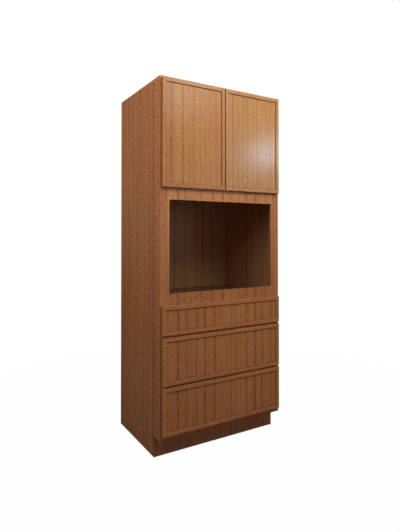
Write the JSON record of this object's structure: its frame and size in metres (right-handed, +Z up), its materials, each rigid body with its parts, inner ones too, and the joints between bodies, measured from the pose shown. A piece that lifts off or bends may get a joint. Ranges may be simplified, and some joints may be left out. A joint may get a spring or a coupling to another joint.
{
  "type": "tall oven housing unit",
  "caption": "Tall face-frame kitchen cabinet with a cut-out for a built-in oven, paired cupboard doors above it and wide drawers below.",
  "frame": {"origin": "on the floor, under the middle of the whole outline, door and drawer fronts included", "axes": "+Z up, -Y to the front, +X to the viewer's right when facing the front"},
  "size_m": [0.8382, 0.6308, 2.1336],
  "materials": {
    "stained_wood": "medium brown stain with a satin clear coat",
    "box_wood": "clear lacquered birch",
    "zinc_steel": "bright zinc plate",
    "nickel_steel": "nickel plate",
    "bumper_rubber": "clear soft rubber of the bumpers behind the doors and drawer fronts"
  },
  "bodies": {
    "cabinet": {"left_side_panel": "stained_wood", "right_side_panel": "stained_wood", "bottom_panel": "stained_wood", "oven_shelf": "stained_wood", "cupboard_floor": "stained_wood", "top_panel": "stained_wood", "back_panel": "stained_wood", "toe_kick_board": "stained_wood", "left_stile": "stained_wood", "right_stile": "stained_wood", "bottom_rail": "stained_wood", "lower_drawer_rail": "stained_wood", "upper_drawer_rail": "stained_wood", "oven_face_panel": "stained_wood", "top_rail": "stained_wood", "bottom_drawer_left_track": "zinc_steel", "bottom_drawer_right_track": "zinc_steel", "middle_drawer_left_track": "zinc_steel", "middle_drawer_right_track": "zinc_steel", "top_drawer_left_track": "zinc_steel", "top_drawer_right_track": "zinc_steel", "left_door_lower_hinge_arm": "nickel_steel", "left_door_upper_hinge_arm": "nickel_steel", "right_door_lower_hinge_arm": "nickel_steel", "right_door_upper_hinge_arm": "nickel_steel"},
    "left_door": {"left_door_frame": "stained_wood", "left_door_panel": "stained_wood", "left_door_lower_hinge_cup": "nickel_steel", "left_door_upper_hinge_cup": "nickel_steel"},
    "right_door": {"right_door_frame": "stained_wood", "right_door_panel": "stained_wood", "right_door_lower_hinge_cup": "nickel_steel", "right_door_upper_hinge_cup": "nickel_steel"},
    "bottom_drawer": {"bottom_drawer_front_frame": "stained_wood", "bottom_drawer_front_panel": "stained_wood", "bottom_drawer_box_front": "box_wood", "bottom_drawer_box_back": "box_wood", "bottom_drawer_box_bottom": "box_wood", "bottom_drawer_box_left_side": "box_wood", "bottom_drawer_box_right_side": "box_wood", "bottom_drawer_left_rail": "zinc_steel", "bottom_drawer_right_rail": "zinc_steel"},
    "middle_drawer": {"middle_drawer_front_frame": "stained_wood", "middle_drawer_front_panel": "stained_wood", "middle_drawer_box_front": "box_wood", "middle_drawer_box_back": "box_wood", "middle_drawer_box_bottom": "box_wood", "middle_drawer_box_left_side": "box_wood", "middle_drawer_box_right_side": "box_wood", "middle_drawer_left_rail": "zinc_steel", "middle_drawer_right_rail": "zinc_steel"},
    "top_drawer": {"top_drawer_front_frame": "stained_wood", "top_drawer_front_panel": "stained_wood", "top_drawer_box_front": "box_wood", "top_drawer_box_back": "box_wood", "top_drawer_box_bottom": "box_wood", "top_drawer_box_left_side": "box_wood", "top_drawer_box_right_side": "box_wood", "top_drawer_left_rail": "zinc_steel", "top_drawer_right_rail": "zinc_steel"}
  },
  "joints": [
    {"name": "left_door_hinge", "type": "hinge", "parent": "cabinet", "child": "left_door", "pos_m": [-0.40397, -0.30533, 1.82], "axis": [0, 0, -1], "range_deg": [0, 100]},
    {"name": "right_door_hinge", "type": "hinge", "parent": "cabinet", "child": "right_door", "pos_m": [0.40397, -0.30533, 1.82], "axis": [0, 0, 1], "range_deg": [0, 100]},
    {"name": "bottom_drawer_slide", "type": "slide", "parent": "cabinet", "child": "bottom_drawer", "axis": [0, -1, 0], "range_m": [0, 0.4]},
    {"name": "middle_drawer_slide", "type": "slide", "parent": "cabinet", "child": "middle_drawer", "axis": [0, -1, 0], "range_m": [0, 0.4]},
    {"name": "top_drawer_slide", "type": "slide", "parent": "cabinet", "child": "top_drawer", "axis": [0, -1, 0], "range_m": [0, 0.4]}
  ]
}
